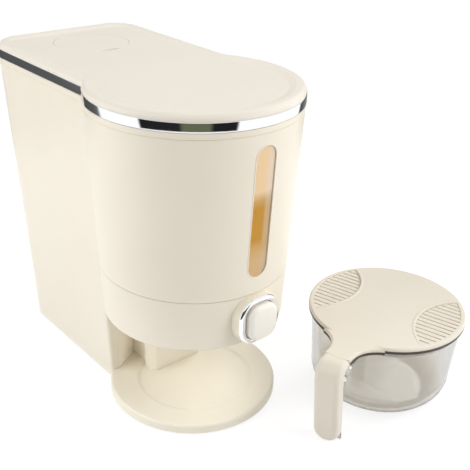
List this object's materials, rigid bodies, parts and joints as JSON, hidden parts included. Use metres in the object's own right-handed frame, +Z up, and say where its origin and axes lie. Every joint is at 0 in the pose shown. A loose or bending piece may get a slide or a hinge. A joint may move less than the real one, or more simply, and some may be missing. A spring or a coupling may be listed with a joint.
{
  "type": "rice storage box",
  "caption": "Countertop rice storage box: tapered drum and column over a round tray, lift-off lid, push-button slide gate, and a clear lidded cup with a handle.",
  "frame": {"origin": "on the floor, at the middle of the pad under the axis of the drum and tray", "axes": "+Z up, -Y to the front with the button and window, +X to the right seen from the front"},
  "size_m": [0.3219, 0.4214, 0.314],
  "materials": {
    "body_cream": "satin moulded cream plastic",
    "lid_cream": "satin moulded cream plastic",
    "tray_cream": "satin moulded cream plastic",
    "chrome": "bright plated trim",
    "amber_window": "clear tinted plastic",
    "inner_plastic": "matt moulded plastic",
    "white_guide": "matt moulded plastic",
    "spring_steel": "drawn wire",
    "screw_steel": "plain steel",
    "seal_rubber": "soft silicone",
    "pad_rubber": "soft silicone",
    "clear_plastic": "clear moulded plastic",
    "trim_dark": "dark bright trim"
  },
  "bodies": {
    "housing": {"body_shell": "body_cream", "drum_base": "body_cream", "alcove_panel": "body_cream", "base_tray": "tray_cream", "base_plate": "tray_cream", "base_screws": "screw_steel", "foot_pads": "pad_rubber", "housing_screws": "screw_steel", "window_lens": "amber_window", "button_ring": "chrome", "gate_guide": "white_guide", "return_spring": "spring_steel", "outlet_chute": "white_guide", "hopper": "inner_plastic"},
    "lid": {"top_lid": "lid_cream", "lid_band": "chrome", "lid_seal": "seal_rubber", "desiccant_basket": "white_guide"},
    "cap": {"desiccant_cap": "lid_cream"},
    "dispense_slide": {"push_button": "lid_cream", "push_rod": "white_guide", "gate": "white_guide"},
    "cup": {"cup_bowl": "clear_plastic", "cup_handle_cover": "lid_cream"},
    "cup_cover": {"cup_lid": "lid_cream", "cup_trim": "trim_dark"}
  },
  "joints": [
    {"name": "lid_lift", "type": "slide", "parent": "housing", "child": "lid", "axis": [0, 0, 1], "range_m": [0, 0.12]},
    {"name": "cap_lift", "type": "slide", "parent": "lid", "child": "cap", "axis": [0, 0, 1], "range_m": [0, 0.05]},
    {"name": "button_press", "type": "slide", "parent": "housing", "child": "dispense_slide", "axis": [0, 1, 0], "range_m": [0, 0.01], "stiffness_N_per_m": 250, "springref_m": -0.006, "deforming": ["return_spring"]},
    {"name": "cup_lift", "type": "slide", "parent": "housing", "child": "cup", "axis": [0, 0, 1], "range_m": [0, 0.12]},
    {"name": "cup_cover_lift", "type": "slide", "parent": "cup", "child": "cup_cover", "axis": [0, 0, 1], "range_m": [0, 0.06]}
  ]
}
